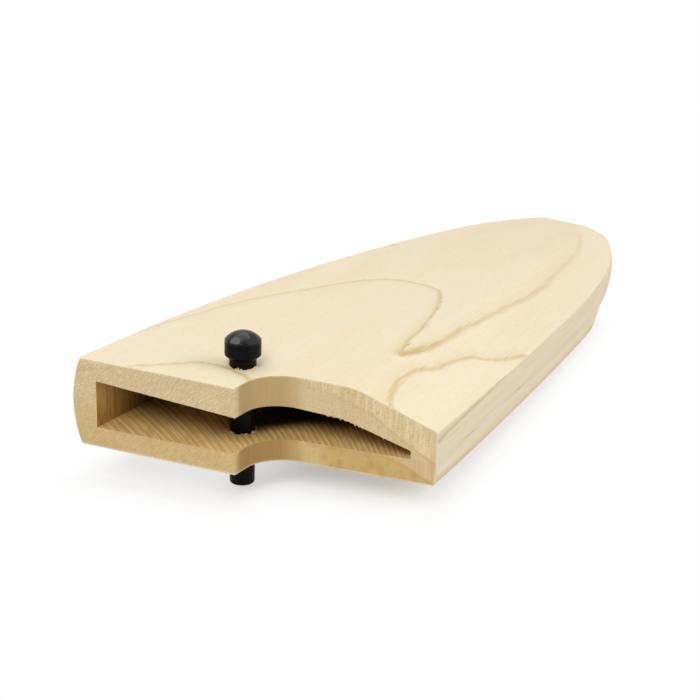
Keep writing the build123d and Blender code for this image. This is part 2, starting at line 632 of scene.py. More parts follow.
@dataclass(frozen=True)
class Grain:
    """Soft noise about 0.5: its waves to a metre, its octaves, their roughness and its stretch."""

    waves: float
    detail: float = 2.0
    rough: float = 0.5
    stretch: Triple | None = None

    def on(self, s: Shader) -> Shade:
        """Add the noise to a material.

        Args:
            s: The material's tree.

        Returns:
            The noise's value.
        """
        place = s.stretched(self.stretch) if self.stretch else None
        return s.noise(self.waves, self.detail, self.rough, place)


@dataclass(frozen=True)
class WoodFinish:
    """Bare planed wood: pale faces, tan ends, brown with painted shade where it was hollowed out.

    The planed faces and the flank come first, then the cuts, then the slot, each with its own
    grain. A pair of reaches, insets or rises says where something sets in and where it is full. The
    last values say where the boards lie, in metres.
    """

    pale: Colour = linear(245, 231, 201)
    warm: Colour = linear(244, 228, 195)
    line: Colour = linear(190, 153, 95)
    ring: Colour = linear(202, 169, 100)
    spine: Colour = linear(238, 221, 186)
    flank: Colour = linear(242, 228, 197)
    flank_grey: Colour = linear(236, 220, 187)
    # brown: painted shade along the flank's lower edge, where it rounds under
    brown: Colour = linear(214, 183, 128)
    flank_shade_rise: Pair = (-2.2, -4.2)
    knot: Pair = (121.3, 17.1)
    knot_size: Pair = (1.6, 0.2)
    fibre: Grain = Grain(2600.0, 3.0, 0.6, (0.05, 1.0, 1.0))
    speck: Grain = Grain(1100.0, 2.0, 0.7)
    tone: Grain = Grain(120.0, 2.0, 0.5, (0.15, 1.0, 1.0))
    contour: Grain = Grain(60.0, 1.0, 0.5, (0.03, 1.0, 1.0))
    greying: Grain = Grain(900.0, 2.0, 0.6, (0.02, 1.0, 1.0))
    streak: Grain = Grain(1900.0, 2.0, 0.6, (0.05, 1.0, 1.0))
    wobble: Grain = Grain(380.0, 2.0, 0.6, (0.5, 1.0, 1.0))

    end_grain: Colour = linear(232, 212, 172)
    end_low: Colour = linear(226, 199, 144)
    end_dark: Colour = linear(200, 170, 116)
    # painted highlight: a pale line along the sharp arrises of the cuts
    arris: Colour = linear(250, 234, 198)
    arris_width: Pair = (0.36, 0.08)
    # throat: painted shade in the scoop's throat, and also the tint of the real blotches
    throat: Colour = linear(184, 155, 103)
    throat_shade_reach: Pair = (0.15, 2.4)
    throat_shade_inset: Pair = (45.5, 38.5)
    scoop: Colour = linear(229, 207, 166)
    scoop_inset: Pair = (44.0, 50.0)
    band: Colour = linear(238, 217, 172)
    band_ring: int = 6
    blotched: float = 0.12
    mouth_reach: Pair = (0.7, 0.3)

    hollow: Colour = linear(243, 212, 145)
    groove: Colour = linear(182, 140, 68)
    ridge: Colour = linear(244, 217, 158)
    # painted shade: the colour that the slot fades to away from its opening
    dark: Colour = linear(42, 18, 3)
    floor_shade_span: Pair = (9.0, 54.0)
    ceiling_shade_span: Pair = (0.0, 30.0)
    stain: Grain = Grain(90.0, 2.0, 0.6, (0.3, 1.0, 1.0))
    sawn: Grain = Grain(1500.0, 2.0, 0.6, (1.0, 1.0, 0.15))
    sway: Grain = Grain(60.0)
    patch: Grain = Grain(700.0)

    roughness: float = 0.62
    specular: float = 0.25
    ridge_specular: float = 0.2
    grain_depth: float = 0.05 * MM
    mouth: float = 0.0
    spine_y: float = 0.0
    glue: float = 0.0

    def bench(self, s: Shader) -> tuple[Shade, Shade, Shade]:
        """Give the reach, the inset and the rise in millimetres.

        Args:
            s: The material's tree.

        Returns:
            The three shades.
        """
        return ((s.axis("X") - self.mouth) / MM, (self.spine_y - s.axis("Y")) / MM,
                (s.axis("Z") - self.glue) / MM)

    def material(self, name: str, figure: Sequence[Ring],
                 arcs: SawArcs | None) -> bpy.types.Material:
        """Build the material.

        Args:
            name: The material's name.
            figure: The rings whose measures the mesh carries.
            arcs: The cutter's arcs, where the board has the slot's floor.

        Returns:
            The material.
        """
        s = Shader(name)
        kind = s.attribute("side")
        on = {side: abs(kind - float(side.value)).fade(0.6, 0.4) for side in Side}
        up = s.axis("Z", s.facing()).fade(0.3, 0.5)
        reach, inset, rise = self.bench(s)
        fibre = self.fibre.on(s)
        end, grain = self.cut(s, reach, inset, rise)
        inside, marks = self.inside(s, reach, inset, arcs)

        colour = s.mix(on[Side.FLANK], *self.planed(s, up, rise))
        speck = self.speck.on(s)
        colour = s.mix((fibre - 0.5) * 0.2 + (speck - 0.5) * 0.2 + 0.04, colour, self.line)
        colour = self.ringed(s, s.mix(on[Side.CUT], colour, end), figure, on, up)
        if not arcs:
            away = ((reach - self.knot[0]) ** 2.0 + (inset - self.knot[1]) ** 2.0) ** 0.5
            colour = s.mix(away.fade(*self.knot_size) * up * 0.3, colour, self.line)
        # painted highlight along the arrises, where the edges catch the light
        edge = s.attribute("arris").fade(*self.arris_width) * (1.0 - on[Side.HOLLOW])
        colour = s.mix(edge * 0.45, colour, self.arris)
        colour = s.mix((on[Side.HOLLOW] + on[Side.BORE]).below(1.0), colour, inside)

        s.surface(Base_Color=colour, Roughness=self.roughness + (fibre - 0.5) * 0.2,
                  Specular_IOR_Level=self.specular)
        height = s.blend(on[Side.CUT], fibre * 0.6, grain)
        s.bump(s.blend(on[Side.HOLLOW], height, marks), self.grain_depth)
        return s.material

    def planed(self, s: Shader, up: Shade, rise: Shade) -> tuple[Shade, Shade]:
        """Give the look of the planed faces, whose late wood shows as lines on the upright ones.

        Args:
            s: The material's tree.
            up: Whether the face looks up.
            rise: The rise in millimetres.

        Returns:
            The colour of the planed faces and that of the flank.
        """
        tone = self.tone.on(s).fade(0.35, 0.65)
        late = abs((self.contour.on(s) * 34.0).sine()).fade(0.22, 0.0) * (1.0 - up)
        planed = s.mix((1.0 - up) * 0.5, s.mix(tone, self.pale, self.warm), self.spine)
        grey = self.greying.on(s).fade(0.4, 0.7)
        flank = s.mix(late * 0.06, s.mix(grey, self.flank, self.flank_grey), self.line)
        # painted shade: browner toward the flank's lower edge
        flank = s.mix(rise.fade(*self.flank_shade_rise) * 0.55, flank, self.brown)
        return s.mix(late * 0.14, planed, self.line), flank

    def ringed(self, s: Shader, colour: Shade, figure: Sequence[Ring], on: dict[Side, Shade],
               up: Shade) -> Shade:
        """Draw the growth rings, each a ragged line with a glow on its late side.

        Args:
            s: The material's tree.
            colour: The wood without them.
            figure: The rings.
            on: Whether the place is on each side of the board.
            up: Whether the face looks up.

        Returns:
            The wood with the rings.
        """
        streak = self.streak.on(s) - 0.5
        ragged = (self.wobble.on(s) - 0.5) * 1.2 + streak * 2.2
        for index, ring in enumerate(figure):
            top = ring.side is Side.PLANED
            gap = s.attribute(f"gap_{index}") + ragged * (0.8 if top else 0.2)
            line = abs(gap).fade(ring.width * 1.8, 0.0) * (0.62 + streak * 0.9)
            late = gap * math.copysign(1.0, ring.glow)
            glow = late.fade(abs(ring.glow), 0.0) * late.fade(-0.6, 0.3)
            ink = s.attribute(f"ink_{index}") * (on[ring.side] * up if top else on[ring.side])
            colour = s.mix((line * 0.85 + glow * 0.2) * ink, colour, self.ring)
        return colour

    def cut(self, s: Shader, reach: Shade, inset: Shade, rise: Shade) -> tuple[Shade, Shade]:
        """Give the look of the sawn ends: hatched and pored at the mouth, striped down the scoop.

        Args:
            s: The material's tree.
            reach: The reach in millimetres.
            inset: The inset in millimetres.
            rise: The rise in millimetres.

        Returns:
            The colour and the height.
        """
        y, z = s.axis("Y") / MM, s.axis("Z") / MM

        def noise(detail: float, rough: float, across: float, down: float) -> Shade:
            """Add noise with so many waves to a millimetre across the cut, and down it."""
            return s.noise(1.0, detail, rough, s.joined(y * across, reach * across, z * down))

        mouth = reach.fade(*self.mouth_reach)
        hatch = s.noise(1.0, 3.0, 0.75, s.joined((y + z) * 2.5, (y - z) * 0.42, 0.0))
        stripe = noise(2.0, 0.6, 2.8, 0.22) * 0.65 + noise(1.0, 0.5, 0.8, 0.08) * 0.35
        marks = s.blend(mouth, stripe, hatch)
        plain = s.mix(rise.fade(9.5, 0.5), self.end_grain, self.end_low)
        plain = s.mix(inset.fade(*self.scoop_inset), plain, self.scoop)
        band = s.attribute(f"gap_{self.band_ring}").fade(-0.2, 0.4) * (1.0 - mouth)
        strength = mouth * 0.32 + 0.22 + band * 0.18
        colour = s.mix(marks.fade(0.38, 0.6) * strength, s.mix(band, plain, self.band),
                       self.end_dark)
        blotch = noise(3.0, 0.6, 0.4, 0.4).fade(0.42, 0.72) * self.blotched
        colour = s.mix(blotch * (1.0 - mouth) * (1.0 - band), colour, self.throat)
        broad = noise(2.0, 0.5, 0.12, 0.25).fade(0.35, 0.65)
        colour = s.mix(broad * 0.16, colour, self.end_dark)
        pores = noise(1.0, 0.5, 2.9, 3.6).fade(0.59, 0.69)
        colour = s.mix(pores * rise.fade(0.2, 3.0) * 0.55, colour, self.line)
        # painted shade: the scoop's throat darkened and browned where shade falls on it
        painted_throat_shade = reach.fade(*self.throat_shade_reach) * inset.fade(*self.throat_shade_inset)
        colour = s.mix(painted_throat_shade * (1.12 - marks * 0.5), colour, self.throat)
        return colour, marks * 0.8 - pores * 0.5

    def inside(self, s: Shader, reach: Shade, inset: Shade,
               arcs: SawArcs | None) -> tuple[Shade, Shade]:
        """Give the look of the slot: painted shade that deepens into it, and arcs scored across its
        floor.

        Args:
            s: The material's tree.
            reach: The reach in millimetres.
            inset: The inset in millimetres.
            arcs: The cutter's arcs, or None off the floor.

        Returns:
            The colour and the height.
        """
        colour = s.mix(self.stain.on(s).fade(0.35, 0.7) * 0.3, self.hollow, self.groove)
        if not arcs:
            rough = self.sawn.on(s)
            colour = s.mix(rough.fade(0.4, 0.65) * 0.4 + 0.55, colour, self.groove)
            # painted shade on the slot's ceiling and walls, deepening away from the opening
            return s.mix(self.depth(reach, inset, self.ceiling_shade_span), colour, self.dark), rough
        run = reach - arcs.lead(inset, lambda value: value**0.5)
        swayed = run + self.sway.on(s) * 1.6
        wave = (swayed * (2 * math.pi / arcs.pitch)).sine() * 0.5 + 0.5
        score = s.noise(1.0, 2.0, 0.65, s.joined(run * 2.2, inset * 0.07, 0.0))
        colour = s.mix(wave * 0.4 + score.fade(0.42, 0.66) * 0.3, colour, self.groove)
        # painted shade on the slot's floor, deepening away from the opening
        colour = s.mix(self.depth(reach, inset, self.floor_shade_span), colour, self.dark)
        return colour, 1.0 - wave * 0.6 - score * 0.8

    def depth(self, reach: Shade, inset: Shade, between: Pair) -> Shade:
        """Say how much painted shade falls at a place in the slot.

        The scoop lets light in over the spine half as far as its throat, and its edge runs on
        towards the flank, so both are taken off the reach. The throat casts the deepest shadow.

        Args:
            reach: The reach in millimetres.
            inset: The inset in millimetres.
            between: How far in from the opening it starts to darken, and where it is darkest.

        Returns:
            A share of the painted shade's colour.
        """
        scooped = inset.fade(34.5, 38.0)
        edge = inset.fade(30.0, 43.0) * 10.0 + inset.fade(44.0, 56.0) * 5.0
        shadow = (reach - edge).fade(9.0, 16.0) * inset.fade(24.0, 31.0)
        past = (reach - scooped * 12.0) * (scooped * 0.2 + 1.0)
        return past.fade(*between).above(shadow) * 0.95

    def ridge_wood(self) -> bpy.types.Material:
        """Build the material of the ridges on the slot's floor.

        Returns:
            The material.
        """
        s = Shader("ridge_wood")
        reach, inset, _ = self.bench(s)
        patch = self.patch.on(s)
        colour = s.mix(patch.fade(0.3, 0.8) * 0.5, self.ridge, self.hollow)
        # painted shade on the ridges, deepening into the slot
        depth = self.depth(reach, inset, self.floor_shade_span)
        s.surface(Base_Color=s.mix(depth, colour, self.dark),
                  Roughness=self.roughness + (patch - 0.5) * 0.2,
                  Specular_IOR_Level=self.ridge_specular)
        return s.material


@dataclass(frozen=True)
class TornFinish:
    """Pale torn wood, where the cutter lifted the fibres, with how far each kind leans to brown."""

    pale: Colour = linear(243, 224, 184)
    brown: Colour = linear(196, 160, 104)
    pale_lean: float = -0.2
    brown_lean: float = 0.35
    patch: Grain = Grain(700.0)
    roughness: float = 0.7
    specular: float = 0.2

    def material(self, name: str, lean: float) -> bpy.types.Material:
        """Build the material.

        Args:
            name: The material's name.
            lean: How far it leans to the brown.

        Returns:
            The material.
        """
        s = Shader(name)
        patch = self.patch.on(s)
        s.surface(Base_Color=s.mix(patch.fade(0.3, 0.8) + lean, self.pale, self.brown),
                  Roughness=self.roughness + (patch - 0.5) * 0.2, Specular_IOR_Level=self.specular)
        return s.material


@dataclass(frozen=True)
class PinFinish:
    """Black pin with the faint stripes of hand finishing, polished from a height in metres up."""

    black: Colour = (0.003, 0.003, 0.0035)
    worn: Colour = (0.014, 0.014, 0.016)
    roughness: float = 0.3
    specular: float = 0.07
    coat_roughness: float = 0.12
    scratch_depth: float = 0.04 * MM
    streak: Grain = Grain(900.0, 3.0, 0.6, (1.0, 1.0, 0.12))
    cloud: Grain = Grain(500.0)
    polish_from: float = 0.0

    def material(self) -> bpy.types.Material:
        """Build the material.

        Returns:
            The material.
        """
        s = Shader("black_polish")
        streak, cloud = self.streak.on(s), self.cloud.on(s)
        head = s.axis("Z").fade(self.polish_from - 0.6 * MM, self.polish_from + 0.4 * MM)
        s.surface(Base_Color=s.mix(streak.fade(0.45, 0.75) * cloud, self.black, self.worn),
                  Roughness=self.roughness + (streak - 0.5) * 0.3,
                  Coat_Weight=head * (cloud * 0.9 + 0.2),
                  Specular_IOR_Level=self.specular, Coat_Roughness=self.coat_roughness)
        s.bump(streak * 0.6 + cloud * 0.4, self.scratch_depth)
        return s.material


def dress(piece: bpy.types.Object, body: Body, slot: Slot, *nodes: str) -> bpy.types.Object:
    """Attach a piece to the body that it rides on, and hide the nodes that it stands for.

    Args:
        piece: The finished piece.
        body: The body that it rides on.
        slot: Its material slot, not used.
        nodes: The CAD nodes that it replaces.

    Returns:
        The piece.
    """
    if nodes:
        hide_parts(*nodes)
    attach(piece, body.value)
    return piece


def mesh_object(name: str, mesh: bpy.types.Mesh, material: bpy.types.Material) -> bpy.types.Object:
    """Put a mesh in the scene.

    Args:
        name: The piece's name.
        mesh: Its mesh, in its place.
        material: Its finish.

    Returns:
        The new object.
    """
    piece = bpy.data.objects.new(name, mesh)
    bpy.context.scene.collection.objects.link(piece)
    mesh.materials.clear()
    mesh.materials.append(material)
    return piece


def line_mesh(name: str, runs: Iterable[Sequence[Vector]],
              lean: Callable[[Vector], Vector]) -> bpy.types.Mesh:
    """Make a mesh of edges, with the way that fibres stand on it.

    Args:
        name: The mesh's name.
        runs: Points of each line.
        lean: What gives the direction at a point.

    Returns:
        The mesh, with the attribute lean.
    """
    places: dict[tuple[float, ...], int] = {}
    edges = []
    for run in runs:
        keys = [tuple(round(c, SAME_PLACE) for c in point) for point in run]
        indices = [places.setdefault(key, len(places)) for key in keys]
        edges.extend(zip(indices, indices[1:]))
    mesh = bpy.data.meshes.new(name)
    mesh.from_pydata(list(places), edges, [])
    attribute = mesh.attributes.new("lean", "FLOAT_VECTOR", "POINT")
    attribute.data.foreach_set("vector", [c for place in places for c in lean(Vector(place))])
    return mesh


@dataclass
class Boards:
    """The two glued boards, as fine meshes that carry their figure and the marks of the cutters.

    The section is the ceiling of the slot, as insets and rises. The grid, its shares along the axes
    and the weld make the fine mesh, and the rest says where a face counts as cut, slot or flank.
    """

    grid: float = 0.9 * MM
    shares: Triple = (1.0, 1.0, 1.5)
    weld: float = 0.002 * MM
    even: float = math.radians(0.4)
    crease: float = math.radians(32)
    section: tuple[Pair, ...] = ((0.0, 9.75), (51.6, 5.74), (65.5, 1.45))
    spine_wall: float = 5.4
    edge_wall_inset: float = 65.5
    slot_end: float = 171.6
    slot_nose: float = 60.0
    middle: float = 35.0
    flank_inset: float = 40.0
    scoop_end: float = 60.0
    cut_reach: float = 16.0
    bore_radius: float = 2.85
    slack: float = 0.05
    skin: float = 0.02
    flank_facing: float = 0.6
    arcs: SawArcs = field(default_factory=SawArcs)
    lips: dict[str, list[tuple[Vector, Vector]]] = field(default_factory=dict)

    def __post_init__(self) -> None:
        """Read the boards' places from the frame."""
        self.low, self.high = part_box("upper_half")
        self.glue = self.low.z
        self.mouth, self.spine = self.low.x, self.high.y
        self.pin = pin_axis()[0]

    def bench(self, point: Vector) -> Triple:
        """Give a point's reach, inset and rise in millimetres."""
        return (point.x - self.mouth) / MM, (self.spine - point.y) / MM, (point.z - self.glue) / MM

    def places(self) -> dict[str, float]:
        """Give the places that the wood's finish measures from."""
        return {"mouth": self.mouth, "spine_y": self.spine, "glue": self.glue}

    def build(self) -> list[bpy.types.Object]:
        """Make both boards.

        Returns:
            The boards' pieces.
        """
        upper = WoodFinish(**self.places())
        # the lower board's throat colour is painted shade in its throat and also its blotches' tint
        lower = WoodFinish(**self.places(), end_grain=linear(226, 199, 144),
                           end_dark=linear(194, 158, 96), throat=linear(166, 130, 74),
                           scoop=linear(214, 182, 118), band=linear(228, 204, 160),
                           blotched=0.5, band_ring=0)
        return [self.board("upper_half", "upper_board", UPPER_FIGURE, upper, None),
                self.board("lower_half", "lower_board", LOWER_FIGURE, lower, self.arcs)]

    def side(self, node: str, point: Vector, normal: Vector) -> Side:
        """Say what a face of a board is.

        Args:
            node: The board's CAD node.
            point: The face's middle.
            normal: The way it faces.

        Returns:
            Its side.
        """
        reach, inset, rise = self.bench(point)
        upright = abs(normal.z) < STEEP
        if (point.xy - self.pin.xy).length < self.bore_radius * MM and upright:
            return Side.BORE
        if node == "lower_half" and abs(rise) < self.skin and normal.z > FLAT:
            return Side.HOLLOW
        ceiling = float(np.interp(inset, *zip(*self.section)))
        within = (self.spine_wall - self.slack < inset < self.edge_wall_inset + self.slack
                  and self.skin < rise < ceiling + self.slack and reach < self.slot_end)
        wall = ((normal.y < -STEEP and inset < self.middle)
                or (normal.y > STEEP and inset > self.middle)
                or (normal.x < -STEEP and reach > self.slot_nose))
        if node == "upper_half" and within and (normal.z < -LEANING or wall):
            return Side.HOLLOW
        sawn = normal.x < -LEANING or (normal.y < -STEEP and inset < self.scoop_end)
        if reach < self.cut_reach and upright and sawn:
            return Side.CUT
        flank = normal.y < -self.flank_facing and inset > self.flank_inset
        return Side.FLANK if flank else Side.PLANED

    def divided(self, node: str) -> bmesh.types.BMesh:
        """Copy a board and divide its faces by a grid.

        Args:
            node: The board's CAD node.

        Returns:
            The divided copy.
        """
        work = bmesh.new()
        work.from_mesh(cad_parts[node].data)
        bmesh.ops.remove_doubles(work, verts=work.verts, dist=self.weld)
        bmesh.ops.dissolve_limit(work, angle_limit=self.even, verts=work.verts, edges=work.edges)
        low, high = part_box(node)
        for axis, share in enumerate(self.shares):
            step = share * self.grid
            normal = Vector([float(axis == other) for other in range(3)])
            for level in np.arange(low[axis] + step / 2, high[axis], step):
                bmesh.ops.bisect_plane(work, geom=[*work.verts, *work.edges, *work.faces],
                                       dist=self.weld / 2, plane_co=normal * float(level),
                                       plane_no=normal)
        bmesh.ops.triangulate(work, faces=[face for face in work.faces if len(face.verts) > 4])
        return work

    def board(self, node: str, name: str, figure: Sequence[Ring], finish: WoodFinish,
              arcs: SawArcs | None) -> bpy.types.Object:
        """Copy a board, divide its faces and keep on them what its finish reads.

        Args:
            node: The CAD node that it stands for.
            name: The piece's name.
            figure: Its rings.
            finish: Its wood.
            arcs: The cutter's arcs, where it has the slot's floor.

        Returns:
            The finished piece.
        """
        work = self.divided(node)
        sides = {face: self.side(node, face.calc_center_median(), face.normal)
                 for face in work.faces}
        arrises = []
        for edge in work.edges:
            edge.smooth = edge.calc_face_angle(0.0) < self.crease
            met = frozenset(sides[face] for face in edge.link_faces)
            ends = tuple(vert.co.copy() for vert in edge.verts)
            if met in (frozenset((Side.CUT, Side.PLANED)), frozenset((Side.CUT, Side.FLANK))):
                # the glue line's edges are no arris
                if max(abs(self.bench(end)[2]) for end in ends) > 2 * self.slack:
                    arrises.append(ends)
            elif len(met) == 2 and not edge.smooth:
                label = "_".join(sorted(side.name for side in met))
                self.lips.setdefault(f"{node}:{label}", []).append(ends)
        for face in work.faces:
            face.smooth = True
        mesh = bpy.data.meshes.new(name)
        kinds = [float(sides[face].value) for face in work.faces]
        work.to_mesh(mesh)
        work.free()
        points = np.empty(3 * len(mesh.vertices), np.float32)
        mesh.vertices.foreach_get("co", points)
        points = points.reshape(-1, 3).astype(float)
        mesh.attributes.new("side", "FLOAT", "FACE").data.foreach_set("value", kinds)
        # distance to the arrises, read for the painted highlight
        self.keep(mesh, "arris", self.nearness(points, arrises))
        reach = (points[:, 0] - self.mouth) / MM
        inset = (self.spine - points[:, 1]) / MM
        rise = (points[:, 2] - self.glue) / MM
        sheets = {Side.PLANED: (reach, inset), Side.CUT: (inset, rise), Side.FLANK: (reach, rise)}
        for index, ring in enumerate(figure):
            gap, strength = ring.measure(np.stack(sheets[ring.side], 1))
            self.keep(mesh, f"gap_{index}", gap)
            self.keep(mesh, f"ink_{index}", strength)
        piece = mesh_object(name, mesh, finish.material(f"{name}_wood", figure, arcs))
        log.info("%s: %d faces", name, len(mesh.polygons))
        return dress(piece, Body.SHEATH, Slot.WOOD, node)

    def keep(self, mesh: bpy.types.Mesh, name: str, values: np.ndarray) -> None:
        """Keep a number for each point on a mesh.

        Args:
            mesh: The mesh.
            name: The attribute's name.
            values: The numbers.
        """
        attribute = mesh.attributes.new(name, "FLOAT", "POINT")
        attribute.data.foreach_set("value", values.astype(np.float32))

    def nearness(self, points: np.ndarray, edges: Sequence[tuple[Vector, Vector]],
                 step: float = 0.15 * MM) -> np.ndarray:
        """Measure how far points lie from a set of edges.

        Args:
            points: The points, in metres.
            edges: The edges' ends.
            step: How finely the edges are followed, in metres.

        Returns:
            The distances in millimetres.
        """
        tree = point_tree([place for ends in edges for place in along(*ends, step)])
        return np.array([tree.find(Vector(point))[2] for point in points]) / MM


@dataclass(frozen=True)
class Bed:
    """A run of torn fibres: its sizes in millimetres, how far they stray, and how many stand."""

    name: str
    spacing: float
    length: float
    width: float
    spread: float
    share: float
    seed: int

    def inputs(self, finish: bpy.types.Material) -> dict[str, Any]:
        """Give the values of the tree's named inputs.

        Args:
            finish: The fibres' material.

        Returns:
            The values by name.
        """
        return {"Spacing": self.spacing * MM, "Length": self.length * MM, "Width": self.width * MM,
                "Spread": self.spread, "Share": self.share, "Seed": self.seed, "Finish": finish}


@dataclass
class Tears:
    """Fibres and chips that the saw and the drill lifted along the boards' sharp edges.

    Insets say where the scoop's run starts and the mouth's ends, and a rise what is the top's rim.
    Fibres lean down from the slot's ceiling, out over its floor, or up and away from the bore.
    """

    boards: Boards
    scoop_from: float = 49.0
    mouth_to: float = 36.5
    top_from: float = 6.0
    down: Triple = (-0.25, 0.0, -1.0)
    out: Triple = (-0.5, 0.0, 0.8)
    climb: float = 0.7
    beds: tuple[Bed, ...] = (
        Bed("scoop_fibres", spacing=0.42, length=0.42, width=0.5, spread=0.8, share=0.42, seed=3),
        Bed("mouth_fibres", spacing=0.5, length=0.2, width=0.2, spread=0.5, share=0.4, seed=5),
        Bed("floor_fibres", spacing=0.5, length=0.2, width=0.24, spread=0.6, share=0.4, seed=7),
        Bed("top_chips", spacing=0.46, length=0.62, width=0.8, spread=1.0, share=0.55, seed=11),
        Bed("floor_chips", spacing=0.46, length=0.75, width=0.85, spread=1.0, share=0.55, seed=13),
    )
    finish: TornFinish = field(default_factory=TornFinish)

    def tree(self) -> Grower:
        """Make the tree that sets slivers along lines, each leaning the way that its line says.

        Returns:
            The tree.
        """
        g = Grower("torn_fibres", ("Spacing", "Length", "Width", "Spread", "Share"))
        curve = g.node("GeometryNodeMeshToCurve", {}, [g.given("Lines")])
        points = g.node("GeometryNodeResampleCurve", {"mode": "LENGTH"},
                        {"Curve": curve, "Length": g.given("Spacing")})
        lean = g.node("GeometryNodeInputNamedAttribute", {"data_type": "FLOAT_VECTOR"},
                      {"Name": "lean"})
        astray = g.joined(*(g.random(-1.0, 1.0, turn) * g.given("Spread") for turn in range(3)))
        turned = g.node("FunctionNodeAlignRotationToVector", {"axis": "Z"},
                        {"Vector": g.vector("ADD", lean, astray)})
        width = g.given("Width") * g.random(0.45, 1.0, 3)
        size = g.joined(width, width * g.random(0.4, 0.9, 4),
                        g.given("Length") * g.random(0.25, 1.0, 5))
        sliver = g.node("GeometryNodeMeshCone", {},
                        {"Vertices": 5, "Radius Top": 0.16, "Radius Bottom": 0.5, "Depth": 1.0})
        chosen = g.node("FunctionNodeRandomValue", {"data_type": "BOOLEAN"},
                        {"Probability": g.given("Share"), "Seed": g.given("Seed")}, 3)
        g.finish(g.node("GeometryNodeInstanceOnPoints", {},
                        {"Points": points, "Selection": chosen, "Instance": sliver,
                         "Rotation": turned, "Scale": size}))
        return g

    def away(self, point: Vector) -> Vector:
        """Give the lean away from the pin's axis at a point."""
        outward = (point - self.boards.pin).to_2d().normalized()
        return Vector((outward.x, outward.y, self.climb))

    def build(self) -> list[bpy.types.Object]:
        """Make every run of torn fibres.

        Returns:
            The pieces.
        """
        lips, bench = self.boards.lips, self.boards.bench
        upper = lips["upper_half:CUT_HOLLOW"]
        scoop = [ends for ends in upper if bench(ends[0])[1] > self.scoop_from]
        mouth = [ends for ends in upper if bench(ends[0])[1] <= self.mouth_to]
        floor = lips["lower_half:CUT_HOLLOW"]
        top_rim = [ends for ends in lips["upper_half:BORE_PLANED"]
                   if bench(ends[0])[2] > self.top_from]
        floor_rim = lips["lower_half:BORE_HOLLOW"]
        pale = self.finish.material("torn_pale", self.finish.pale_lean)
        brown = self.finish.material("torn_brown", self.finish.brown_lean)
        down, out = (lambda point: Vector(self.down)), (lambda point: Vector(self.out))
        runs = ((scoop, down, brown), (mouth, down, brown), (floor, out, pale),
                (top_rim, self.away, pale), (floor_rim, self.away, pale))
        tree = self.tree()
        pieces = []
        for bed, (edges, lean, finish) in zip(self.beds, runs):
            lines = line_mesh(f"{bed.name}_line", edges, lean)
            piece = tree.grow(bed.name, lines, bed.inputs(finish))
            pieces.append(dress(piece, Body.SHEATH, Slot.WOOD))
        return pieces


